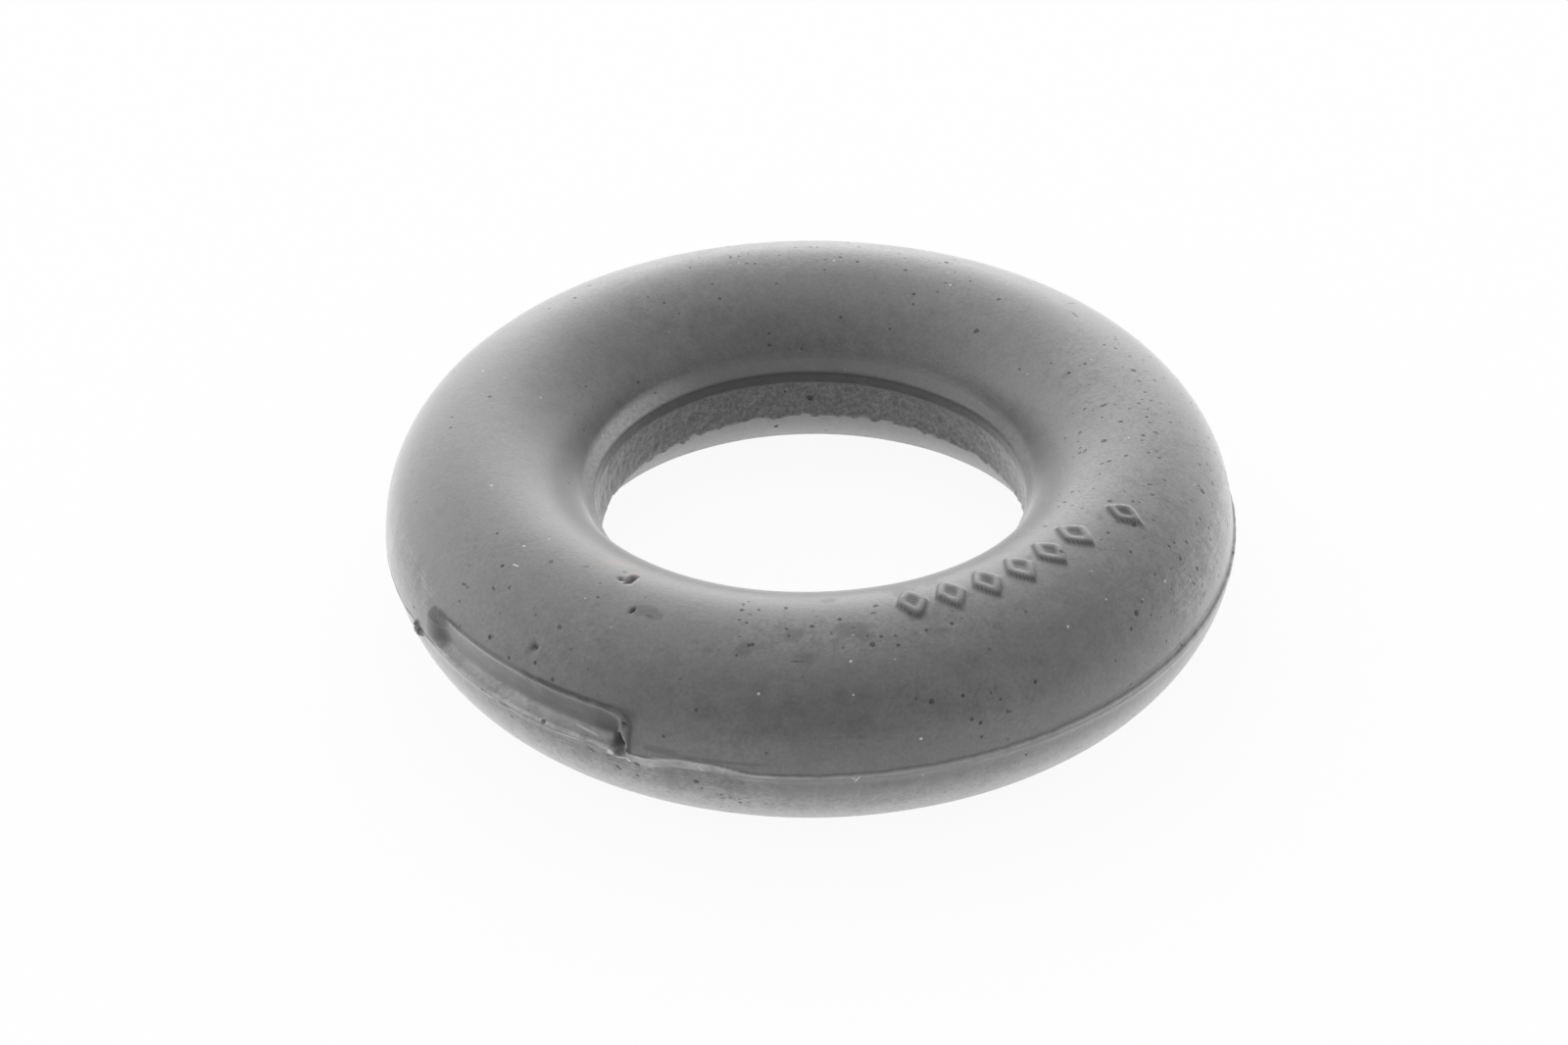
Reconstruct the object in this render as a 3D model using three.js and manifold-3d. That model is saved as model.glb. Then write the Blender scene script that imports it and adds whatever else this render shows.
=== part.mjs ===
import * as THREE from 'three';
import { mergeVertices } from 'three/addons/utils/BufferGeometryUtils.js';
import Module from 'manifold-3d';

// Exhaust hanger ring: one moulded rubber ring that slings an exhaust pipe from a hook on the
// car's floor. Millimetres, +Z up. The origin is on the ring's axis, in the plane it rests on.
// Angles around the ring are degrees anticlockwise from +X, seen from above.

// Ring
const outerDiameter = 62;
const sectionWidth = 15;
const sectionHeight = 15.4;
const restWidth = 1.2;

// Parting line around the waist, and how far the mould's lower half sat off centre along +X
const flashStand = 0.15;
const flashWidth = 0.6;
const halfMismatch = 0.25;

// Band left in the bore where the web of flash was trimmed out, measured from the parting line
const bandStand = 0.35;
const bandAbove = 1.75;
const bandBelow = 2.3;
const shoulderAbove = 2.75;

// Recess on the upper outside, with the parting line as its ledge
const recessAngle = 228.9;
const recessLength = 19.4;
const recessHeight = 3.05;
const recessDepth = 1;
const recessCorner = 1.3;
const ledgeFillet = 0.5;

// Torn pit at the recess's right-hand end, and the torn nub of flash just past its left-hand end
const pitRadius = 0.7;
const nubLength = 1.4;
const nubThickness = 0.75;
const nubGap = 0.45;

// Raised lozenge marks along the crown: a row of equal ones, and one smaller one by itself
const markCount = 6;
const markStartAngle = 287;
const markPitchAngle = 6.8;
const markLength = 3.3;
const markWidth = 2;
const markStand = 0.3;
const markRoot = 0.5;
const markTaper = 0.7;
const loneMarkAngle = 331;
const loneMarkOutset = 1.5;
const loneMarkScale = 0.85;

// Fineness of the facets
const turnSteps = 96;
const degreesPerStep = 10;

const rubberColor = 0x3d3d3e;
const rubberRoughness = 0.55;

// Worked out from the sizes above
const halfWidth = sectionWidth / 2;
const partingHeight = sectionHeight / 2;
const meanRadius = outerDiameter / 2 - halfWidth;
const waistRadius = meanRadius + halfWidth;
const boreRadius = meanRadius - halfWidth;
const restEdgeAngle = Math.acos(restWidth / sectionWidth);
const lowerReach = partingHeight / Math.sin(restEdgeAngle);

const wasm = await Module();
wasm.setup();

function solidFrom(geometry) {
  geometry.deleteAttribute('normal');
  geometry.deleteAttribute('uv');
  const merged = mergeVertices(geometry);
  return new wasm.Manifold(new wasm.Mesh({
    numProp: 3,
    vertProperties: new Float32Array(merged.attributes.position.array),
    triVerts: new Uint32Array(merged.index.array),
  }));
}

function geometryFrom(solid) {
  const mesh = solid.getMesh();
  const geometry = new THREE.BufferGeometry();
  geometry.setAttribute('position', new THREE.BufferAttribute(mesh.vertProperties, 3));
  geometry.setIndex(new THREE.BufferAttribute(mesh.triVerts, 1));
  const flatShaded = geometry.toNonIndexed();
  flatShaded.computeVertexNormals();
  return flatShaded;
}

// A closed outline of radius and height, turned about the ring's axis
function turned(outline) {
  const geometry = new THREE.LatheGeometry([...outline, outline[0]], turnSteps);
  geometry.rotateX(Math.PI / 2);
  return geometry;
}

// A frame at an angle around the ring: X along the ring, Y up, Z outwards
function outwardFrame(degrees, radius, height) {
  const angle = THREE.MathUtils.degToRad(degrees);
  const outwards = new THREE.Vector3(Math.cos(angle), Math.sin(angle), 0);
  const along = new THREE.Vector3(-Math.sin(angle), Math.cos(angle), 0);
  const frame = new THREE.Matrix4().makeBasis(along, new THREE.Vector3(0, 0, 1), outwards);
  return frame.setPosition(outwards.clone().multiplyScalar(radius).setZ(height));
}

// A point of the section: 0 at the outer waist, a quarter turn at the crown
function sectionPoint(angle) {
  const reach = Math.sin(angle) < 0 ? lowerReach : partingHeight;
  return new THREE.Vector2(
    meanRadius + halfWidth * Math.cos(angle),
    partingHeight + reach * Math.sin(angle),
  );
}

function sectionArc(from, to) {
  const steps = Math.ceil(THREE.MathUtils.radToDeg(to - from) / degreesPerStep);
  const points = [];
  for (let i = 0; i <= steps; i++) {
    points.push(sectionPoint(from + (to - from) * i / steps));
  }
  return points;
}

// The section from the rest land, up the outside, over the crown and down through the bore
function ringOutline() {
  const upperFlashEdge = Math.asin(flashWidth / 2 / partingHeight);
  const lowerFlashEdge = -Math.asin(flashWidth / 2 / lowerReach);
  const shoulder = Math.PI - Math.asin(shoulderAbove / partingHeight);
  const underBand = -Math.PI + Math.asin(bandBelow / lowerReach);
  const bandRadius = boreRadius - bandStand;
  return [
    ...sectionArc(-restEdgeAngle, lowerFlashEdge),
    new THREE.Vector2(waistRadius + flashStand, partingHeight),
    ...sectionArc(upperFlashEdge, shoulder),
    new THREE.Vector2(bandRadius, partingHeight + bandAbove),
    new THREE.Vector2(bandRadius, partingHeight - bandBelow),
    ...sectionArc(underBand, -Math.PI + restEdgeAngle),
  ];
}

// The upper half sits half the mismatch towards -X and the lower half as far towards +X
function ringBody() {
  const geometry = turned(ringOutline());
  const places = geometry.attributes.position;
  for (let i = 0; i < places.count; i++) {
    const above = places.getZ(i) - partingHeight;
    const side = Math.abs(above) < 1e-6 ? 0 : Math.sign(above);
    places.setX(i, places.getX(i) - side * halfMismatch / 2);
  }
  return solidFrom(geometry);
}

// The recess is where a turned band with a filleted foot meets a block with round top corners
function recessCutter() {
  const floorRadius = waistRadius - recessDepth;
  const clearRadius = waistRadius + recessDepth + flashStand;
  const top = partingHeight + recessHeight;
  const fillet = [];
  const filletSteps = 4;
  for (let i = 0; i <= filletSteps; i++) {
    const angle = Math.PI + Math.PI / 2 * i / filletSteps;
    fillet.push(new THREE.Vector2(
      floorRadius + ledgeFillet * (1 + Math.cos(angle)),
      partingHeight + ledgeFillet * (1 + Math.sin(angle)),
    ));
  }
  const band = solidFrom(turned([
    ...fillet,
    new THREE.Vector2(clearRadius, partingHeight),
    new THREE.Vector2(clearRadius, top),
    new THREE.Vector2(floorRadius, top),
  ]));

  const half = recessLength / 2;
  const face = new THREE.Shape();
  face.moveTo(-half, -recessHeight);
  face.lineTo(half, -recessHeight);
  face.lineTo(half, recessHeight - recessCorner);
  face.absarc(half - recessCorner, recessHeight - recessCorner, recessCorner, 0, Math.PI / 2);
  face.lineTo(recessCorner - half, recessHeight);
  face.absarc(recessCorner - half, recessHeight - recessCorner, recessCorner, Math.PI / 2, Math.PI);
  face.closePath();
  const block = new THREE.ExtrudeGeometry(face, {
    depth: clearRadius,
    curveSegments: 5,
    bevelEnabled: false,
  });
  block.applyMatrix4(outwardFrame(recessAngle, 0, partingHeight));
  return band.intersect(solidFrom(block));
}

// Degrees from the recess's middle to a place that lies beyond its end by a distance
function recessEndAngle(beyond) {
  return THREE.MathUtils.radToDeg(Math.asin((recessLength / 2 + beyond) / waistRadius));
}

function tornPit() {
  const geometry = new THREE.IcosahedronGeometry(pitRadius, 2);
  const angle = recessAngle + recessEndAngle(-pitRadius);
  geometry.applyMatrix4(outwardFrame(angle, waistRadius - recessDepth / 2, partingHeight));
  return solidFrom(geometry);
}

function tornNub() {
  const geometry = new THREE.DodecahedronGeometry(0.5);
  geometry.scale(nubThickness, nubLength, nubThickness);
  const angle = recessAngle - recessEndAngle(nubGap + nubThickness / 2);
  geometry.applyMatrix4(outwardFrame(angle, waistRadius, partingHeight));
  return solidFrom(geometry);
}

// A four-sided stud with sloping sides, rooted in the ring, its long diagonal across the ring.
// The outset is how far out from the crown's top line it sits.
function lozenge(degrees, scale, outset) {
  const geometry = new THREE.CylinderGeometry(markTaper / 2, 1 / 2, markStand + markRoot, 4);
  geometry.scale(markWidth * scale, 1, markLength * scale);
  geometry.translate(0, (markStand - markRoot) / 2, 0);
  const lean = Math.asin(outset / halfWidth);
  geometry.rotateX(lean);
  const top = sectionPoint(Math.PI / 2 - lean);
  geometry.applyMatrix4(outwardFrame(degrees, top.x, top.y));
  return solidFrom(geometry);
}

function hangerRing() {
  let solid = ringBody();
  for (let i = 0; i < markCount; i++) {
    solid = solid.add(lozenge(markStartAngle + i * markPitchAngle, 1, 0));
  }
  solid = solid.add(lozenge(loneMarkAngle, loneMarkScale, loneMarkOutset));
  solid = solid.subtract(recessCutter());
  solid = solid.subtract(tornPit());
  solid = solid.add(tornNub());
  const material = new THREE.MeshStandardMaterial({
    color: rubberColor,
    roughness: rubberRoughness,
    metalness: 0,
  });
  const mesh = new THREE.Mesh(geometryFrom(solid), material);
  mesh.name = 'hanger_ring';
  return mesh;
}

const group = new THREE.Group();
group.add(hangerRing());

export default group;
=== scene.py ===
from math import cos, pi, radians, sin, sqrt

import bpy
from mathutils import Matrix, Vector

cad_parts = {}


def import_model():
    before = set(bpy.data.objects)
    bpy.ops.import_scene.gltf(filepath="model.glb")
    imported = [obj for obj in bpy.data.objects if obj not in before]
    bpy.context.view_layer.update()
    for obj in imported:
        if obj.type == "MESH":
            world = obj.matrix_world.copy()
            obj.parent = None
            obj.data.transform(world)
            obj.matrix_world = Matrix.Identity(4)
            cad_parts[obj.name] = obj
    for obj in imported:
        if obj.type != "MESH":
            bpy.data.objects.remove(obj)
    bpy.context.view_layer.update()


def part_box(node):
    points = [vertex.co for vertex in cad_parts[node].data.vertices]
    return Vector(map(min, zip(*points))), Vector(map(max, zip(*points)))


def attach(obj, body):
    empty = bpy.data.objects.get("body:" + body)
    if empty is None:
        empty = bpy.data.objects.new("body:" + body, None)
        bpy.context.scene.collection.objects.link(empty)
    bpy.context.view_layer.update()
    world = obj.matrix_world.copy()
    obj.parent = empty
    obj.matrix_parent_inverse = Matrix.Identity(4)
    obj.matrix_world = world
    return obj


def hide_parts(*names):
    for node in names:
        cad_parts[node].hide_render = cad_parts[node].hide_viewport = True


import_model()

MM = 0.001

# Sizes of the ring, in metres, from the frame's box and the mould's own details
FLASH_STAND = 0.15 * MM
MARK_STAND = 0.3 * MM
ring_low, ring_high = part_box("hanger_ring")
WAIST_RADIUS = (ring_high.x - ring_low.x) / 2 - FLASH_STAND
SECTION_WIDTH = 15 * MM
SECTION_HEIGHT = ring_high.z - ring_low.z - MARK_STAND
REST_WIDTH = 1.2 * MM
HALF_HEIGHT = SECTION_HEIGHT / 2
MEAN_RADIUS = WAIST_RADIUS - SECTION_WIDTH / 2
LOWER_REACH = HALF_HEIGHT / sqrt(1 - (REST_WIDTH / SECTION_WIDTH) ** 2)

RING_SIZES = {
    "Mean radius": MEAN_RADIUS,
    "Half width": SECTION_WIDTH / 2,
    "Half height": HALF_HEIGHT,
    "Lower reach": LOWER_REACH,
    "Half mismatch": 0.25 * MM,
    "Lumps": 0.07 * MM,
    "Flash stand": FLASH_STAND,
    "Flash foot below": 0.8 * MM,
    "Flash foot above": 0.12 * MM,
    "Flash drop": 0.1 * MM,
    "Tongue rise": 0.5 * MM,
    "Band stand": 0.35 * MM,
    "Band above": 1.75 * MM,
    "Band below": 2.3 * MM,
    "Band grit": 0.22 * MM,
    "Shoulder above": 2.75 * MM,
    "Recess angle": radians(228.9),
    "Recess length": 19.4 * MM,
    "Recess height": 3.05 * MM,
    "Recess depth": 1 * MM,
    "Recess corner": 1.3 * MM,
    "Recess cove": 0.7 * MM,
    "Recess lean": 0.3,
    "Recess top slope": 0.8 * MM,
    "Recess left slope": 4.5 * MM,
    "Recess right slope": 1.8 * MM,
    "Pit angle": radians(245.3),
    "Pit radius": 0.72 * MM,
    "Nub angle": radians(207.4),
    "Nub stand": 0.36 * MM,
    "Mark start angle": radians(287),
    "Mark pitch angle": radians(6.8),
    "Mark length": 3.4 * MM,
    "Mark width": 2.3 * MM,
    "Mark stand": MARK_STAND,
    "Lone mark angle": radians(331),
    "Lone mark outset": 1.5 * MM,
    "Mark dish": 0.4,
}
MARK_COUNT = 6
LONE_MARK_SCALE = 0.85

# About how large the moulding's lumps, ragged edges, grit and patches are
LUMP_SIZE = 9 * MM
RAGGED_SIZE = 1.1 * MM
GRIT_SIZE = 0.42 * MM
PATCH_SIZE = 1.6 * MM

# How far the flash's crest wanders, and how much of the flash is cut off along the recess
CREST_WANDER = 0.3 * MM
CREST_GRIT = 0.1 * MM
FLASH_CUT_OFF = 0.75

# Edges of the recess and its ledge, the pit at the recess's end, and the dents
RIM_WIDTH = 0.25 * MM
LEDGE_EDGE_WIDTH = 0.35 * MM
LEDGE_EDGE_DROP = 0.16 * MM
LEDGE_WIDTH = 0.55 * MM
PIT_RISE = 0.15 * MM
PIT_DEPTH_SHARE = 0.85
DENT_DEPTH = 0.25 * MM

# Half the nub's length, how much that narrows with height, and half the nub's height
NUB_HALF_LENGTH = 0.42 * MM
NUB_TAPER = 0.25
NUB_HALF_HEIGHT = 0.75 * MM

# How soft the step between the mould's halves is: in the bore, outside, at the right, and
# where the flash was cut off
STEP_IN_BORE = 1.6 * MM
STEP_SHARPER_OUTSIDE = 1.5 * MM
STEP_SOFTER_RIGHT = 0.35 * MM
STEP_SOFTER_AT_CUT = 0.6 * MM

# Stretches around or across the ring, in degrees: start, end, and how soft the ends are
FLASH_CUT = (204, 243, 2)
TONGUE = (251, 260, 3)
# Where the painted shade and dirt on the recess's edge is strongest
SHADE_AND_DIRT_LEFT_END = (209, 218.5, 1.5)
SHADE_AND_DIRT_RIGHT_END = (230, 249, 1.5)

# Lines of the ring's mesh: (degrees where the stretch ends, lines in the stretch)
AROUND_START = 0
AROUND = [(205, 230), (213, 36), (242, 60), (250, 36), (283, 44), (334, 136), (360, 28)]
ACROSS_START = -85.4
ACROSS = [
    (-30, 14), (-6, 12), (-1, 7), (1, 6), (5, 7), (19, 7), (25, 8), (68, 14), (110, 34),
    (160, 13), (173, 12), (198, 18), (201, 4), (265.4, 13), (274.6, 1),
]
# Points of the sheet's meeting edges that lie nearer than this are joined
SEAM_DISTANCE = 0.001 * MM


class Value:
    """A socket in a node tree. Arithmetic on it adds Math nodes to that tree."""

    def __init__(self, tree, socket):
        self.tree = tree
        self.socket = socket

    def node(self, kind, settings=(), inputs=(), output=0):
        """Adds a node: its settings first, then its sockets' values and links."""
        return add_node(self.tree, kind, settings, inputs, output)

    def maths(self, operation, *others):
        inputs = dict(enumerate((self, *others)))
        return self.node("ShaderNodeMath", {"operation": operation}, inputs)

    def __add__(self, other):
        return self.maths("ADD", other)

    def __sub__(self, other):
        return self.maths("SUBTRACT", other)

    def __rsub__(self, other):
        inputs = {0: other, 1: self}
        return self.node("ShaderNodeMath", {"operation": "SUBTRACT"}, inputs)

    def __mul__(self, other):
        return self.maths("MULTIPLY", other)

    def __truediv__(self, other):
        return self.maths("DIVIDE", other)

    def __gt__(self, other):
        return self.maths("GREATER_THAN", other)

    def __lt__(self, other):
        return self.maths("LESS_THAN", other)

    def __neg__(self):
        return self.maths("MULTIPLY", -1)

    def __abs__(self):
        return self.maths("ABSOLUTE")

    __radd__ = __add__
    __rmul__ = __mul__

    def low(self, other):
        return self.maths("MINIMUM", other)

    def high(self, other):
        return self.maths("MAXIMUM", other)

    def held(self):
        return self.low(1).high(0)

    def ramp(self, start, end, low=0, high=1, smooth=True):
        """low before start, high after end, and a smooth or straight change between them."""
        kind = "SMOOTHSTEP" if smooth else "LINEAR"
        inputs = {0: self, 1: start, 2: end, 3: low, 4: high}
        return self.node("ShaderNodeMapRange", {"interpolation_type": kind}, inputs)

    def towards(self, other, share):
        return self + (other - self) * share


def add_node(tree, kind, settings=(), inputs=(), output=0):
    node = tree.nodes.new(kind)
    for name, value in dict(settings).items():
        setattr(node, name, value)
    for place, value in dict(inputs).items():
        if isinstance(value, Value):
            tree.links.new(value.socket, node.inputs[place])
        else:
            node.inputs[place].default_value = value
    return Value(tree, node.outputs[output])


def length_of(a, b):
    return (a * a + b * b).maths("SQRT")


def noise(place, size, detail=2.0, roughness=0.5):
    """Noise from -0.5 to 0.5 whose lumps are about that size, in metres."""
    inputs = {"Vector": place, "Scale": 1 / size, "Detail": detail, "Roughness": roughness}
    return place.node("ShaderNodeTexNoise", {}, inputs) - 0.5


def spread(lines, start, stretches):
    """An angle from a line's number, with each stretch's own spacing."""
    angle = start
    first = 0
    total = None
    for end, count in stretches:
        turn = lines.ramp(first, first + count, 0, radians(end - angle), smooth=False)
        total = turn if total is None else total + turn
        first += count
        angle = end
    return total + radians(start)


def recess_share(size, radius, above, turn):
    """Two shares: 1 inside the recess's round-cornered outline, and 1 along its edge."""
    along = abs(radius * turn.maths("SINE"))
    past_side = along - size["Recess length"] / 2 + size["Recess corner"]
    past_top = above - size["Recess height"] + size["Recess corner"]
    corner = length_of(past_side.high(0), past_top.high(0))
    outside = corner + past_side.high(past_top).low(0) - size["Recess corner"]
    near = turn.maths("COSINE") > 0.5
    end_slope = size["Recess left slope"].towards(size["Recess right slope"], turn > 0)
    by_end = (past_side / size["Recess corner"] + 1).ramp(0, 2)
    slope = size["Recess top slope"].towards(end_slope, by_end)
    valid = (above > 0.02 * MM) * near
    share = (-outside / slope).ramp(0, 1) * valid
    rim = (-outside / RIM_WIDTH + 1).ramp(0, 1.2) * share.ramp(0.6, 1, 1, 0.3) * valid
    return share, rim


def lozenge_height(size, radius, turn, scale):
    """How far a lozenge mark stands above the crown, from 0 to 1. Its middle is dished."""
    across = abs(turn * size["Mean radius"]) / (size["Mark width"] * (scale / 2))
    outwards = abs(radius - size["Mean radius"]) / (size["Mark length"] * (scale / 2))
    out = across.maths("POWER", 1.25) + outwards.maths("POWER", 1.25)
    return out.ramp(0.68, 1.04, 1, 0) * (1 - out.ramp(0.12, 0.5, 1, 0) * size["Mark dish"])


def marks_height(size, radius, around):
    steps = (around - size["Mark start angle"]) / size["Mark pitch angle"]
    nearest = steps.maths("ROUND").high(0).low(MARK_COUNT - 1)
    turn = around - size["Mark start angle"] - nearest * size["Mark pitch angle"]
    lone_turn = around - size["Lone mark angle"]
    row = lozenge_height(size, radius, turn, 1)
    lone = lozenge_height(size, radius - size["Lone mark outset"], lone_turn, LONE_MARK_SCALE)
    return row.high(lone) * size["Mark stand"]


# What moulding and handling left on the rubber. Each has its angle around the ring, its angle
# across the section from the outer waist up, half its length and width in mm, and its lean.
CHIPS = [
    (-121.6, 94.6, 0.72, 0.27, 84), (-123, 91.9, 0.22, 0.14, -13), (-117.5, 74.4, 0.3, 0.13, 67),
    (-128.9, 36.9, 0.24, 0.18, -36), (-113.8, 15, 0.2, 0.16, 0),
]
SMUDGES = [
    (-90.7, 60.8, 0.75, 0.6, 0), (-99.5, 64, 0.7, 0.5, 0), (-87, 102, 0.7, 0.4, 10),
    (-92, 75, 1.2, 0.7, 20), (-115, 76, 1, 0.6, 0), (-84, 76, 1.2, 0.8, 0),
    (-104, 61, 0.6, 0.5, 0), (-113, 8, 0.9, 0.35, 0), (-109, 6, 1.4, 0.3, 0),
    (-101, 5, 3.4, 0.16, 0),
]
WARM_SMEAR = [(-126.6, 105.6, 1.6, 0.55, 24), (-122.6, 100, 0.8, 0.4, 20)]
# The pits are painted near black in the rubber's colour, as painted shade in them
PITS = [
    (-124.2, 98.2, 0.2, 0.11, 8), (-114.7, 73.9, 0.4, 0.06, 1), (-130.3, 89.3, 0.4, 0.09, 43),
    (-145.1, 43.8, 0.19, 0.12, 24), (-140, 52.1, 0.14, 0.1, -7), (-135.6, 80.9, 0.19, 0.16, -16),
    (-124.1, 74.8, 0.15, 0.1, -12), (-101.3, 90.1, 0.17, 0.2, 19), (-101.4, 94.8, 0.17, 0.14, 74),
    (-100.7, 98.4, 0.14, 0.15, 73), (-98.6, 91.3, 0.14, 0.17, 25), (-94.3, 94.1, 0.18, 0.24, 17),
    (-101.2, 82.5, 0.2, 0.1, 16), (-99.8, 86.9, 0.2, 0.1, 12), (-91.9, 59.9, 0.44, 0.06, 2),
    (-79.3, 92.8, 0.28, 0.18, 14), (-80, 87.1, 0.22, 0.12, 0), (-4.5, 78.8, 0.32, 0.15, 56),
    (-9.5, 117.4, 0.16, 0.22, 50), (-7.2, 120.5, 0.15, 0.15, 46), (-9.7, 124, 0.12, 0.17, 81),
    (-19, 104, 0.13, 0.22, 86), (-25, 114.2, 0.23, 0.18, 41), (-29, 114.4, 0.19, 0.22, -33),
    (-30.6, 115.9, 0.28, 0.13, 47), (-10.8, 82.3, 0.17, 0.14, -35), (-11.3, 76, 0.22, 0.14, -54),
    (-19.4, 76.9, 0.26, 0.15, -57), (-5.8, 46.2, 0.14, 0.2, 38), (-9, 40.5, 0.18, 0.19, 37),
    (-25.1, 44.7, 0.14, 0.13, -79), (-28.3, 41.7, 0.22, 0.13, 84), (-20.5, 9.7, 0.22, 0.2, -61),
    (48, 125.3, 0.36, 0.25, 23), (48.8, 100.6, 0.28, 0.2, 40), (31, 131.3, 0.22, 0.14, 0),
    (19.7, 113.5, 0.22, 0.13, 0), (22.4, 80.7, 0.22, 0.14, 0), (6.2, 115.6, 0.2, 0.2, 59),
    (5, 105.2, 0.28, 0.2, -63), (7.9, 80.4, 0.17, 0.14, -73), (39.3, 70.5, 0.6, 0.1, 90),
    (35.3, 80.9, 0.55, 0.09, -8), (104.7, 87.2, 0.17, 0.22, 0), (103.2, 87.6, 0.13, 0.14, 0),
    (-136.7, -2.2, 0.3, 0.1, -6), (-134.6, -4.2, 0.22, 0.15, 4), (-132.8, -3.2, 0.56, 0.19, 3),
    (-128.8, -2.6, 0.26, 0.1, -9), (-118.8, -6.3, 0.4, 0.08, -43), (-116.2, -7, 0.15, 0.13, -8),
    (-112.4, -6.9, 0.28, 0.2, -42), (-115, -14.3, 0.34, 0.15, -66),
    (-112.5, -16.2, 0.3, 0.11, -69), (124.7, -156.4, 0.3, 0.22, 0), (120.6, -158.6, 0.42, 0.22, 0),
    (117.3, -158.7, 0.2, 0.18, 0), (114.8, -158.8, 0.5, 0.32, 30),
]
SCRATCHES = [
    (-84.6, -3.5, 0.42, 0.045, 62), (-84.9, -2.9, 0.26, 0.04, -38), (-139.7, 68.3, 0.3, 0.07, 15),
    (-84.6, 59.3, 0.1, 0.1, 0), (-76.5, 16, 0.1, 0.1, 0), (-114.2, -4.9, 0.45, 0.07, 21),
    (-113.4, -5.7, 0.12, 0.18, 23), (-115.9, -3.4, 0.24, 0.26, -38), (-121.8, -2.5, 1.1, 0.05, 4),
    (-120, 1.9, 1, 0.06, -6),
]


def within(value, start, end, soft):
    """1 between two angles and 0 outside them, with edges that many degrees soft."""
    rise = value.ramp(radians(start - soft), radians(start + soft))
    return rise * value.ramp(radians(end - soft), radians(end + soft), 1, 0)


def marked(skin, marks, ragged):
    """1 on the listed marks and 0 between them, with edges as ragged as asked."""
    nearest = None
    for around, across, half_length, half_width, lean in marks:
        middle = (radians(around) * MEAN_RADIUS, radians(across) * SECTION_WIDTH / 2, 0)
        away = skin.node("ShaderNodeVectorMath", {"operation": "SUBTRACT"}, {0: skin, 1: middle})
        turned = skin.node("ShaderNodeVectorRotate", {"rotation_type": "Z_AXIS"}, {
            "Vector": away,
            "Angle": radians(-lean),
        })
        spread_out = skin.node("ShaderNodeVectorMath", {"operation": "DIVIDE"}, {
            0: turned,
            1: (half_length * MM, half_width * MM, 1),
        })
        far = skin.node("ShaderNodeVectorMath", {"operation": "LENGTH"}, {0: spread_out}, "Value")
        nearest = far if nearest is None else nearest.low(far)
    return (nearest + ragged).ramp(0.65, 1, 1, 0)


def shade_and_dirt_share(skin, around, across, rim, wall, above, marks, mottled):
    """Painted shade and dirt on the recess's edge, painted shade on its wall, in its right-hand
    corner and on the raised marks' flanks, darker patches below and beside the marks, and dark
    smudges.
    """
    # Painted shade and dirt along the recess's edge, strongest at its ends
    left_end = within(around, *SHADE_AND_DIRT_LEFT_END) * (above > 1.9 * MM)
    right_end = within(around, *SHADE_AND_DIRT_RIGHT_END)
    edge = rim * left_end.high(right_end).high(0.55) * mottled.ramp(-0.28, 0)
    # Painted shade on the recess's wall
    wall = wall * around.ramp(radians(216), radians(238), 0.3, 0.65) * mottled.ramp(-0.4, 0.1)
    # Painted shade in the recess's right-hand corner
    corner = within(around, 241, 247.6, 1.2) * within(across, 2, 24, 3) * 0.75
    # Painted shade on the raised marks' flanks, most on their outer side, and darker patches below
    # and beside the marks
    flanks = marks * (1 - marks) * 4 * mottled.ramp(-0.3, 0)
    facing = across.ramp(radians(84), radians(100), 1, 0.7)
    beside = within(around, 282, 334, 3) * within(across, 80, 116, 6) * mottled.ramp(0.03, 0.17)
    below = within(around, 280, 300, 4) * within(across, 66, 82, 4) * mottled.ramp(0, 0.14) * 0.45
    smudges = marked(skin, SMUDGES, mottled * 3) * 0.42
    around_marks = (flanks * facing).high(below).high(beside * 0.4)
    return edge.high(wall).high(corner).high(around_marks).high(smudges)


def scuffs_share(around, across):
    """Stretches of the outside that rubbed against something."""
    left = within(around, -180, -151, 5) * within(across, -4, 30, 5)
    right = within(around, -32, 24, 8) * within(across, 4, 36, 8)
    back = within(around, 40, 140, 15) * within(across, 48, 84, 8)
    below = within(around, -158, -96, 4) * within(across, -26, -3, 3)
    return (left + right * 0.8 + back * 0.5 + below * 0.6).held()


def busy_share(around, across):
    """Where the small pits lie thickest."""
    right = within(around, -38, 30, 12) * (within(across, 4, 125, 10) + within(across, 2, 34, 6))
    back = within(around, 60, 118, 12) * within(across, 60, 98, 10)
    front = within(around, -104, -62, 8) * within(across, 62, 86, 6)
    return right * 0.5 + back * 0.4 + front * 0.55


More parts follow.
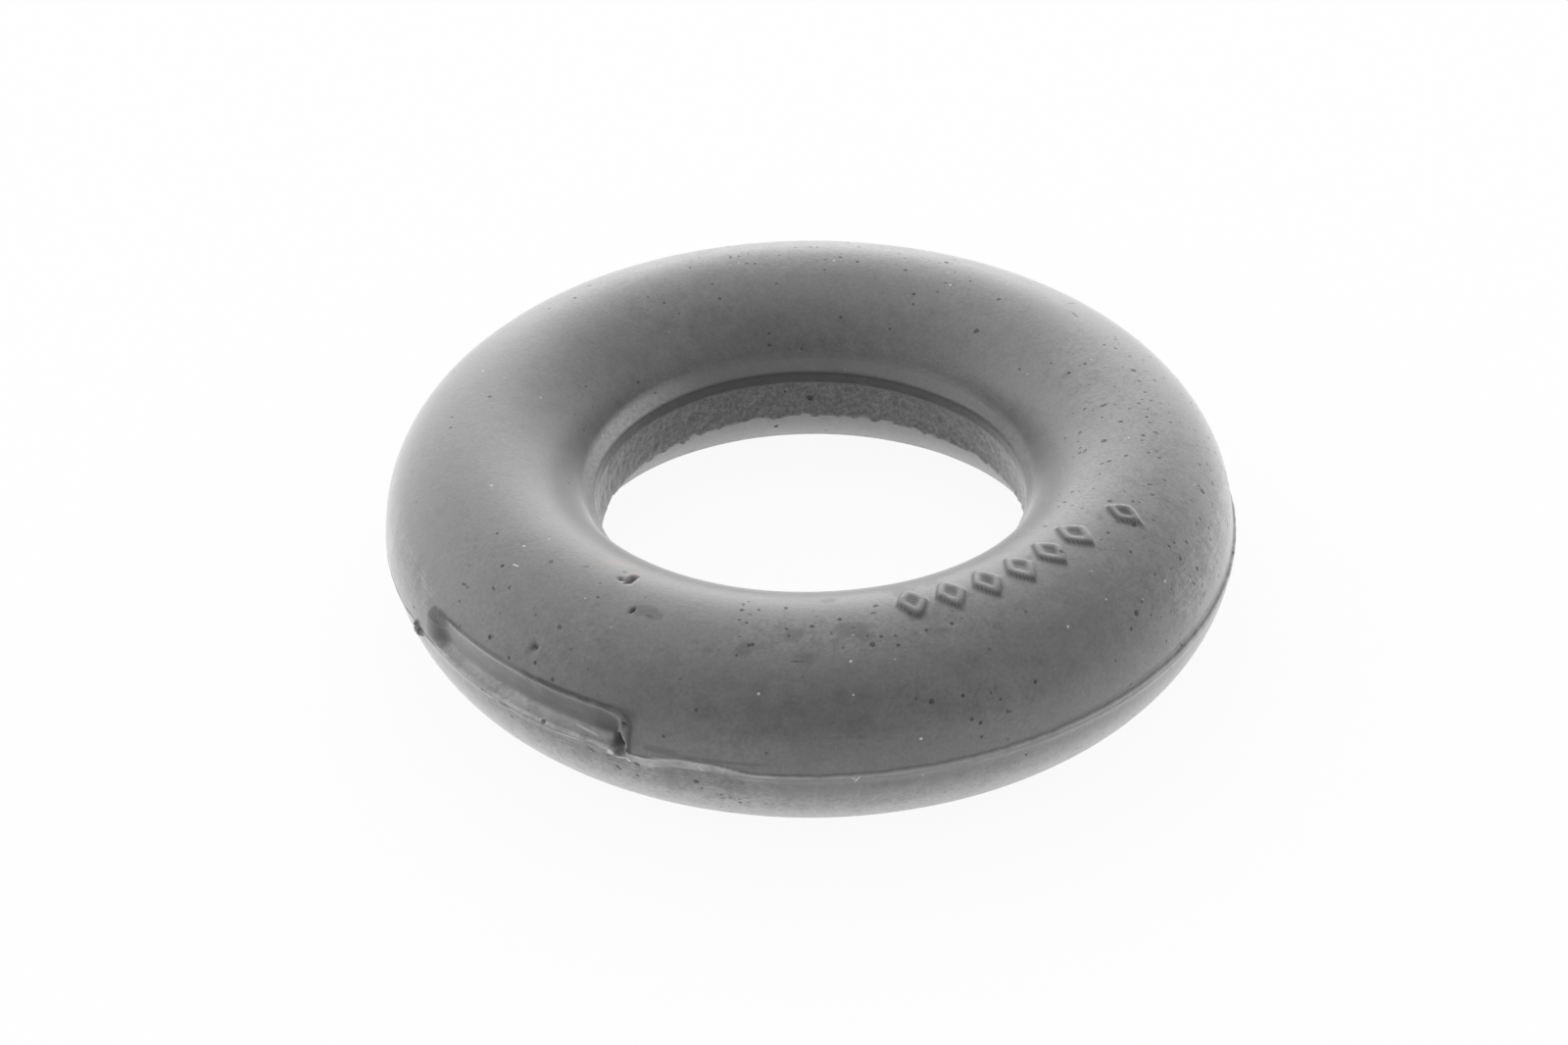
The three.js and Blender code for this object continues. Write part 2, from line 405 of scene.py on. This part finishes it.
def ring_tree(material):
    """The ring as a sheet of lines around and across it, wrapped into the moulded shape."""
    tree = bpy.data.node_groups.new("moulded_ring", "GeometryNodeTree")
    tree.interface.new_socket("Geometry", in_out="OUTPUT", socket_type="NodeSocketGeometry")
    for name in RING_SIZES:
        tree.interface.new_socket(name, in_out="INPUT", socket_type="NodeSocketFloat")
    way_in = tree.nodes.new("NodeGroupInput")
    size = {name: Value(tree, way_in.outputs[name]) for name in RING_SIZES}

    lines_around = sum(count for _, count in AROUND)
    lines_across = sum(count for _, count in ACROSS)
    sheet = add_node(tree, "GeometryNodeMeshGrid", {}, {
        "Size X": lines_around,
        "Size Y": lines_across,
        "Vertices X": lines_around + 1,
        "Vertices Y": lines_across + 1,
    })
    flat = add_node(tree, "GeometryNodeInputPosition")
    line = flat.node("ShaderNodeSeparateXYZ", {}, {0: flat}).socket.node
    around = spread(Value(tree, line.outputs[0]) + lines_around / 2, AROUND_START, AROUND)
    across = spread(Value(tree, line.outputs[1]) + lines_across / 2, ACROSS_START, ACROSS)

    # The plain section
    outwards = across.maths("COSINE")
    upwards = across.maths("SINE")
    cos_around = around.maths("COSINE")
    sin_around = around.maths("SINE")
    outside = outwards > 0
    reach = size["Half height"].towards(size["Lower reach"], upwards < 0)
    plain_radius = size["Mean radius"] + size["Half width"] * outwards
    plain_height = (size["Half height"] + reach * upwards).high(0)
    above = plain_height - size["Half height"]
    place = add_node(tree, "ShaderNodeCombineXYZ", {}, {
        0: plain_radius * cos_around,
        1: plain_radius * sin_around,
        2: plain_height,
    })
    lumps = noise(place, LUMP_SIZE, 1)
    ragged = noise(place, RAGGED_SIZE, 3)
    grit = noise(place, GRIT_SIZE, 2)
    mottled = noise(place, PATCH_SIZE, 3, 0.6)

    # The flash left along the parting line: a steep little step above, a long slope below
    crest = within(around, *TONGUE) * size["Tongue rise"] - size["Flash drop"]
    crest = crest + ragged * CREST_WANDER + grit * CREST_GRIT
    slope_below = 1 - (crest - above) / size["Flash foot below"]
    slope_above = 1 - (above - crest) / size["Flash foot above"]
    flash = slope_below.low(slope_above).held() * (1 + ragged * 1.2)
    trimmed = 1 - within(around, *FLASH_CUT) * FLASH_CUT_OFF
    radius = plain_radius + flash * trimmed * size["Flash stand"] * outside

    # The band in the bore where the web was trimmed out
    bore = size["Mean radius"] - size["Half width"]
    band_radius = bore - size["Band stand"] * cos_around.ramp(0.5, 1, 1, 0.2)
    rise = size["Shoulder above"] / size["Half height"]
    shoulder_radius = size["Mean radius"] - size["Half width"] * (1 - rise * rise).maths("SQRT")
    climb = (above - size["Band above"]) / (size["Shoulder above"] - size["Band above"])
    band_line = band_radius.towards(shoulder_radius, climb.held())
    low_edge = ragged * (1.1 * MM) - size["Band below"]
    on_band = (above > low_edge) * (above < size["Shoulder above"]) * (1 - outside)
    cut = (above + ragged * (0.5 * MM)).ramp(0.7 * MM, 0.95 * MM, 1, 0) * on_band
    radius = radius.towards(radius.low(band_line), on_band)
    radius = radius - cut * (grit * size["Band grit"] + ragged * (0.14 * MM))
    ridge = climb.ramp(-0.05, 0.1) * climb.ramp(1, 1.12, 1, 0) * (1 - outside)

    # The recess, whose floor curves out into the ledge along the parting line
    turn = around - size["Recess angle"]
    share, rim = recess_share(size, plain_radius, above, turn)
    recess = share * outside
    waist = size["Mean radius"] + size["Half width"]
    cove = (1 - above / size["Recess cove"]).held()
    lean = 1 - (above / size["Recess height"]).held() * size["Recess lean"]
    recess_floor = waist - size["Recess depth"] * (1 - cove * cove * cove) * lean
    radius = radius.towards(radius.low(recess_floor), recess)
    ledge_edge = (1 - abs(above) / LEDGE_EDGE_WIDTH).held()
    radius = radius - ledge_edge * ledge_edge * (1 - trimmed) * outside * LEDGE_EDGE_DROP

    # The pit at the recess's right-hand end, and the torn nub past its left-hand end
    past_pit = (around - size["Pit angle"]) * waist
    from_pit = length_of(past_pit, above - PIT_RISE) / size["Pit radius"]
    pit = (from_pit + ragged * 0.8).ramp(0.35, 1.1, 1, 0) * outside
    radius = radius - pit * size["Pit radius"] * PIT_DEPTH_SHARE
    past_nub = (around - size["Nub angle"]) * waist / (NUB_HALF_LENGTH - above * NUB_TAPER)
    from_nub = length_of(past_nub, above / NUB_HALF_HEIGHT + 0.15)
    nub = (from_nub + ragged * 0.7).ramp(0.6, 1, 1, 0) * outside
    radius = radius + nub * size["Nub stand"] * (1 + grit)

    # Chips and dents
    past_half = (around > pi) * (-2 * pi)
    skin = vector(tree, (around + past_half) * MEAN_RADIUS, across * (SECTION_WIDTH / 2))
    chips = marked(skin, CHIPS, grit * 0.5)
    dents = chips * DENT_DEPTH
    radius = radius - dents * outwards

    # The raised marks on the crown, the lumps, and the mould's halves off centre
    marks = marks_height(size, plain_radius, around) * (upwards > 0)
    height = plain_height + marks + (lumps * size["Lumps"] - dents) * upwards
    radius = radius + lumps * size["Lumps"] * outwards
    softer_right = cos_around.ramp(0.2, 0.8, 0, STEP_SOFTER_RIGHT)
    soft = STEP_IN_BORE - outside * (STEP_SHARPER_OUTSIDE - softer_right)
    soft = soft + (1 - trimmed) * outside * STEP_SOFTER_AT_CUT
    side = ((above - crest) / soft).low(1).high(-1)
    shifted = radius * cos_around - side * size["Half mismatch"] / 2
    shaped = add_node(tree, "ShaderNodeCombineXYZ", {}, {
        0: shifted,
        1: radius * sin_around,
        2: height.high(0),
    })

    # What the rubber's finish follows, kept with the mesh
    wall = recess * above.ramp(0.5 * MM, 1.3 * MM)
    torn_line = abs((above - crest + 0.06 * MM) / (0.12 * MM)).ramp(0.5, 1.3, 1, 0)
    into = size["Recess length"] / 2 - abs(waist * turn.maths("SINE"))
    # Painted light: the ledge along the recess's foot is painted pale, as lit from above
    on_ledge = (above / LEDGE_WIDTH).ramp(0.6, 1.5, 1, 0) * (above > -0.15 * MM)
    ledge = into.ramp(0, 1.2 * MM) * (turn.maths("COSINE") > 0.5) * on_ledge
    strip_height = around.ramp(radians(248), radians(264), 1.15 * MM, 0.2 * MM, smooth=False)
    strip_start = around.ramp(radians(246.6), radians(247.6))
    strip_end = around.ramp(radians(262), radians(268), 1, 0)
    strip = ((crest - above) / strip_height + ragged * 0.8).ramp(0.7, 1.1, 1, 0) * (above < crest)
    strip = strip * (strip_start * strip_end) * (0.75 + mottled * 2.4).held()
    pale = strip.high(ledge * (0.85 + mottled * 1.6).held()) * outside
    kept = {
        "flash": torn_line * trimmed * outside * (ragged + 0.45).ramp(0, 0.5),
        "band": cut,
        "ridge": ridge,
        "groove": above.ramp(0.75 * MM, 0.95 * MM) * climb.ramp(-0.02, 0.1, 1, 0) * (1 - outside),
        "pit": pit,
        "torn": nub,
        "pale": pale,
        # Painted shade and dirt, kept for the rubber's colour
        "shade_and_dirt": shade_and_dirt_share(
            skin, around, across, rim * outside, wall, above, marks / size["Mark stand"], mottled,
        ),
        "scuffed": scuffs_share(around + past_half, across),
        "busy": busy_share(around + past_half, across),
        "chips": chips,
        "warm": marked(skin, WARM_SMEAR, mottled * 2),
    }
    mesh = sheet
    for name, value in kept.items():
        mesh = mesh.node("GeometryNodeStoreNamedAttribute", {"data_type": "FLOAT"}, {
            "Geometry": mesh,
            "Name": name,
            "Value": value,
        })
    mesh = mesh.node("GeometryNodeSetPosition", {}, {"Geometry": mesh, "Position": shaped})
    mesh = mesh.node("GeometryNodeMergeByDistance", {}, {
        "Geometry": mesh,
        "Distance": SEAM_DISTANCE,
    })
    mesh = mesh.node("GeometryNodeSetShadeSmooth", {}, {"Geometry": mesh, "Shade Smooth": True})
    mesh = mesh.node("GeometryNodeRealizeInstances", {}, {"Geometry": mesh})
    mesh = mesh.node("GeometryNodeSetMaterial", {}, {"Geometry": mesh, "Material": material})
    way_out = tree.nodes.new("NodeGroupOutput")
    tree.links.new(mesh.socket, way_out.inputs["Geometry"])
    return tree


def moulded_ring(material):
    """Runs the ring's tree once and keeps its result as a plain mesh."""
    tree = ring_tree(material)
    maker = bpy.data.objects.new("ring_maker", bpy.data.meshes.new("ring_maker"))
    bpy.context.scene.collection.objects.link(maker)
    modifier = maker.modifiers.new("shape", "NODES")
    modifier.node_group = tree
    for item in tree.interface.items_tree:
        if item.in_out == "INPUT":
            modifier[item.identifier] = RING_SIZES[item.name]
    depsgraph = bpy.context.evaluated_depsgraph_get()
    mesh = bpy.data.meshes.new_from_object(maker.evaluated_get(depsgraph))
    bpy.data.objects.remove(maker)
    mesh.materials.pop(index=0)
    mesh.name = "rubber_ring"
    ring = bpy.data.objects.new("rubber_ring", mesh)
    bpy.context.scene.collection.objects.link(ring)
    return ring


def attribute(tree, name):
    return add_node(tree, "ShaderNodeAttribute", {"attribute_name": name}, {}, "Fac")


def vector(tree, x, y, z=0):
    return add_node(tree, "ShaderNodeCombineXYZ", {}, {0: x, 1: y, 2: z})


def grains(place, cell, share, size):
    """1 on small round grains and 0 between them. That share of the cells holds a grain."""
    spot = place.node("ShaderNodeTexVoronoi", {}, {"Vector": place, "Scale": 1 / cell})
    colour = Value(place.tree, spot.socket.node.outputs["Color"])
    chances = place.node("ShaderNodeSeparateColor", {}, {0: colour}).socket.node.outputs
    chance, growth = Value(place.tree, chances[0]), Value(place.tree, chances[1])
    edge = size / cell * (0.5 + growth)
    return (spot / edge).ramp(0.55, 1, 1, 0) * (chance < share) * (growth * 0.7 + 0.35)


# The rubber's finish
RUBBER_GREY = 0.06
PALE_BLOOM = 0.34
# Pale grey of the flash strip, also used as painted light on the recess's ledge
LIT_LEDGE_AND_STRIP_GREY = 0.36
DUST_GREY = 0.5
SCRATCH_GREY = 0.55
# Near black: painted shade in pits, chips and shaded places, and dirt
SHADE_AND_DIRT_GREY = 0.012
COOL_WHITE = (1, 1, 1.01, 1)
WARM_DIRT = (0.3, 0.13, 0.08, 1)
RUBBER_ROUGHNESS = 0.4

# About how large the finish's clouds, mottling, grain and crumbs are. The drawn lines are that
# far apart across the ring, and the higher the count, the shorter they are around it.
CLOUD_SIZE = 7 * MM
MOTTLE_SIZE = 1.3 * MM
GRAIN_SIZE = 0.28 * MM
CRUMB_SIZE = 0.34 * MM
LINE_SPACING = 0.17 * MM
LINE_COUNT_AROUND = 2.6

# How far apart the scattered pits and dust lie at their thickest, and how large they are
SMALL_PIT_SPACING = 0.62 * MM
SMALL_PIT_SIZE = 0.13 * MM
LARGE_PIT_SPACING = 1.3 * MM
LARGE_PIT_SIZE = 0.2 * MM
DUST_SPACING = 0.9 * MM
DUST_SIZE = 0.085 * MM


def rubber():
    """Black moulded rubber with a bloom, small pits, dust, scuffs, dirt and torn flash, with
    painted light low down and on the ledge and painted shade in hollows and shaded places.
    """
    material = bpy.data.materials.new("moulded_rubber")
    material.use_nodes = True
    tree = material.node_tree
    shader = tree.nodes["Principled BSDF"]
    shader.inputs["Specular IOR Level"].default_value = 0.8
    shader.inputs["Sheen Weight"].default_value = 1.0
    shader.inputs["Sheen Roughness"].default_value = 0.4
    shader.inputs["Coat Roughness"].default_value = 0.35
    shader.inputs["Coat IOR"].default_value = 1.65

    place = add_node(tree, "ShaderNodeTexCoord", {}, {}, "Object")
    parts = place.node("ShaderNodeSeparateXYZ", {}, {0: place}).socket.node.outputs
    x, y, z = (Value(tree, parts[axis]) for axis in range(3))
    radius = length_of(x, y)
    around = y.maths("ARCTAN2", x)
    across = (z - HALF_HEIGHT).maths("ARCTAN2", radius - MEAN_RADIUS)
    over = across * (SECTION_WIDTH / 2)
    skin = vector(tree, around * MEAN_RADIUS, over)

    # Cloudiness, grain and the fine lines that run round with the ring
    clouds = noise(place, CLOUD_SIZE, 2)
    mottle = noise(place, MOTTLE_SIZE, 3, 0.65)
    grain = noise(place, GRAIN_SIZE, 2, 0.6)
    drawn = vector(
        tree, x / radius * LINE_COUNT_AROUND, y / radius * LINE_COUNT_AROUND, over / LINE_SPACING,
    )
    lines = noise(drawn, 1, 2)

    # Pits and dust, thickest where the ring was handled
    busy = (attribute(tree, "busy") + clouds * 1.2 + 0.08).held()
    pits = grains(place, SMALL_PIT_SPACING, busy, SMALL_PIT_SIZE)
    pits = pits.high(grains(place, LARGE_PIT_SPACING, busy * 0.7, LARGE_PIT_SIZE))
    dust = grains(place, DUST_SPACING, busy * 0.5 + 0.12, DUST_SIZE)
    placed_pits = marked(skin, PITS, grain * 1.6)
    scratches = marked(skin, SCRATCHES, grain * 1.2)
    scuffed = attribute(tree, "scuffed") * (lines + mottle * 1.2).ramp(-0.02, 0.26)

    # Torn flash, the trimmed band in the bore and the pit at the recess's end
    flash, torn = attribute(tree, "flash"), attribute(tree, "torn")
    band, pit = attribute(tree, "band"), attribute(tree, "pit")
    pale, shade_and_dirt = attribute(tree, "pale"), attribute(tree, "shade_and_dirt")
    crumbs = noise(place, CRUMB_SIZE, 3, 0.75)
    tear = band.high(torn)

    # Painted light: paler grey low on the outside and low in the bore, painted as the white
    # floor's reflection; mottled where worn
    painted_light_below = across.ramp(radians(-3), radians(-34)) * across.ramp(radians(-95), radians(-50))
    painted_light_below_bore = across.ramp(radians(-166), radians(-160))
    painted_light_below_bore = painted_light_below_bore * across.ramp(radians(-112), radians(-130))
    # Painted light: the grey rises to 3.5 times low on the outside and low in the bore
    grey = RUBBER_GREY * (1 + painted_light_below * 2.5 + painted_light_below_bore * 2.5)
    worn = 0.5 + busy * 0.9 + attribute(tree, "scuffed") * 0.6 + painted_light_below * 0.7
    grey = grey * (1 + clouds * 0.6 + (mottle * 2 + grain * 1.4) * worn)
    grey = grey.towards(PALE_BLOOM, (flash * 0.5 + scuffed * 0.5).held())
    # Painted light on the recess's ledge, and the pale flash strip
    grey = grey.towards(LIT_LEDGE_AND_STRIP_GREY, pale * (0.8 + mottle * 1.6 + grain).held())

    # Painted light: the ridge over the band is painted paler towards both sides of the bore, the
    # torn face towards the right
    sideways = x / radius
    ridge_grey_lit_at_sides = sideways.ramp(0.8, 1, 0.06, 0.24) + sideways.ramp(-1, -0.45, 0.34, 0)
    grey = grey.towards(ridge_grey_lit_at_sides, attribute(tree, "ridge") * (0.75 + crumbs * 1.6).held())
    # Painted shade in the groove between the trimmed band and the ridge in the bore
    shade_and_dirt = shade_and_dirt.high(attribute(tree, "groove") * 0.9)
    torn_grey_lit_at_right = sideways.ramp(0.75, 1, 0.13, 0.22)
    grey = grey.towards(torn_grey_lit_at_right * crumbs.ramp(-0.12, 0.18, 0, 1.15), tear * 0.9)
    grey = grey.towards(DUST_GREY, dust * 0.8).towards(SCRATCH_GREY, scratches * 0.8)
    # Painted shade: the pits, the chips and the pit at the recess's end are painted near black
    shaded_hollows = pits.high(pit).high(attribute(tree, "chips"))
    # The placed pits and the painted shade and dirt are painted near black as well
    grey = grey.towards(SHADE_AND_DIRT_GREY, shaded_hollows.high(placed_pits).high(shade_and_dirt) * 0.92)
    colour = add_node(tree, "ShaderNodeMix", {"data_type": "RGBA"}, {
        0: grey,
        6: (0, 0, 0, 1),
        7: COOL_WHITE,
    }, 2)
    colour = add_node(tree, "ShaderNodeMix", {"data_type": "RGBA"}, {
        0: attribute(tree, "warm") * 0.3,
        6: colour,
        7: WARM_DIRT,
    }, 2)

    # Roughness, the gloss of the bloom as a coat, and the height of the texture in mm
    rough = RUBBER_ROUGHNESS + mottle * 0.42 + clouds * 0.2 + lines * 0.1
    rough = rough + tear * 0.25 + shaded_hollows * 0.3 + dust * 0.3 + flash * 0.1
    rough = rough + shade_and_dirt * 0.25 + placed_pits * 0.2
    gloss = 0.88 + (mottle * 0.6 + grain * 0.8) * worn
    gloss = gloss + (lines * 0.5 + crumbs) * attribute(tree, "scuffed") * 0.4
    gloss = gloss.low(1 - shade_and_dirt * 0.95).low(1 - shaded_hollows.high(placed_pits) * 0.8).held()
    height = clouds * 0.12 + mottle * 0.05 + grain * 0.034 + lines * 0.009
    height = height - shaded_hollows * 0.06 + crumbs * tear * 0.34
    bump = add_node(tree, "ShaderNodeBump", {}, {"Height": height, "Distance": MM}, "Normal")
    tree.links.new(colour.socket, shader.inputs["Base Color"])
    tree.links.new(rough.held().socket, shader.inputs["Roughness"])
    tree.links.new(gloss.socket, shader.inputs["Coat Weight"])
    tree.links.new(bump.socket, shader.inputs["Normal"])
    return material


# The floor's size and finish, and how white it shows. The rest of what the camera sees of it is
# the ring's soft shadow.
FLOOR_SIZE = 3
FLOOR_COLOR = (0.9, 0.9, 0.9, 1)
FLOOR_ROUGHNESS = 0.9
FLOOR_GLOW = 0.93


def floor():
    """A white ground. The rubber mirrors it as plain white."""
    bpy.ops.mesh.primitive_plane_add(size=FLOOR_SIZE)
    ground = bpy.context.object
    ground.name = "floor"
    material = bpy.data.materials.new("floor_white")
    material.use_nodes = True
    tree = material.node_tree
    shader = tree.nodes["Principled BSDF"]
    shader.inputs["Base Color"].default_value = FLOOR_COLOR
    shader.inputs["Roughness"].default_value = FLOOR_ROUGHNESS
    rays = tree.nodes.new("ShaderNodeLightPath").outputs
    seen = Value(tree, rays["Is Camera Ray"]) * FLOOR_GLOW
    for kind in ("Is Glossy Ray", "Is Transmission Ray"):
        seen = seen.high(Value(tree, rays[kind]))
    glow = tree.nodes.new("ShaderNodeEmission")
    glow.inputs["Strength"].default_value = 1.0
    mix = tree.nodes.new("ShaderNodeMixShader")
    tree.links.new(seen.socket, mix.inputs[0])
    tree.links.new(shader.outputs[0], mix.inputs[1])
    tree.links.new(glow.outputs[0], mix.inputs[2])
    tree.links.new(mix.outputs[0], tree.nodes["Material Output"].inputs[0])
    ground.data.materials.append(material)


# Soft light from the white tent round the ring: (degrees up, degrees round, strength)
TENT_PANELS = [
    (90, 0, 0.6), (45, 30, 0.21), (45, 90, 0.72), (45, 150, 0.63), (45, 210, 0.24),
    (45, 330, 0.1), (8, 10, 0.28), (8, 50, 0.4), (8, 90, 1.44), (8, 130, 0.42),
    (8, 170, 0.94), (8, 210, 0.3), (8, 330, 0.16),
]
TENT_LEVEL = 0.49
PANEL_SHARPNESS = 9.5


def world():
    """A white tent, brighter behind the ring. The camera sees it as plain white."""
    made = bpy.data.worlds.new("studio")
    bpy.context.scene.world = made
    made.use_nodes = True
    tree = made.node_tree
    way = add_node(tree, "ShaderNodeTexCoord", {}, {}, "Generated")
    level = TENT_LEVEL
    for rise, turn, strength in TENT_PANELS:
        rise, turn = radians(rise), radians(turn)
        panel = (cos(rise) * cos(turn), cos(rise) * sin(turn), sin(rise))
        inputs = {0: way, 1: panel}
        facing = way.node("ShaderNodeVectorMath", {"operation": "DOT_PRODUCT"}, inputs, "Value")
        level = ((facing - 1) * PANEL_SHARPNESS).maths("EXPONENT") * strength + level
    seen = add_node(tree, "ShaderNodeLightPath", {}, {}, "Is Camera Ray")
    background = tree.nodes["Background"]
    background.inputs["Color"].default_value = (1, 1, 1, 1)
    tree.links.new(level.towards(1, seen).socket, background.inputs["Strength"])


# The camera, as the photograph was taken
CAMERA_ELEVATION = radians(34.85)
CAMERA_DISTANCE = 10.414 * MEAN_RADIUS
CAMERA_YAW = radians(-0.455)
CAMERA_PITCH = radians(-0.27)
CAMERA_ROLL = radians(-0.485)
SENSOR_WIDTH = 36
PHOTO_WIDTH = 1600
FOCAL_LENGTH = 3390.66  # in pixels of the photo


def camera():
    data = bpy.data.cameras.new("camera")
    data.sensor_width = SENSOR_WIDTH
    data.lens = SENSOR_WIDTH * FOCAL_LENGTH / PHOTO_WIDTH
    data.clip_start = 0.01
    data.clip_end = 20
    item = bpy.data.objects.new("camera", data)
    bpy.context.scene.collection.objects.link(item)
    level, rise = cos(CAMERA_ELEVATION), sin(CAMERA_ELEVATION)
    ahead = Vector((0, level, -rise))
    right = Vector((1, 0, 0))
    up = Vector((0, rise, level))
    ahead, right = (ahead * cos(CAMERA_YAW) + right * sin(CAMERA_YAW),
                    right * cos(CAMERA_YAW) - ahead * sin(CAMERA_YAW))
    ahead, up = (ahead * cos(CAMERA_PITCH) + up * sin(CAMERA_PITCH),
                 up * cos(CAMERA_PITCH) - ahead * sin(CAMERA_PITCH))
    right, up = (right * cos(CAMERA_ROLL) + up * sin(CAMERA_ROLL),
                 up * cos(CAMERA_ROLL) - right * sin(CAMERA_ROLL))
    place = Vector((0, -CAMERA_DISTANCE * level, CAMERA_DISTANCE * rise + HALF_HEIGHT))
    turned = Matrix((right, up, -ahead)).transposed().to_4x4()
    item.matrix_world = Matrix.Translation(place) @ turned
    bpy.context.scene.camera = item


bpy.context.scene.view_settings.view_transform = "Standard"
ring = moulded_ring(rubber())
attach(ring, "root")
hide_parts("hanger_ring")
floor()
world()
camera()
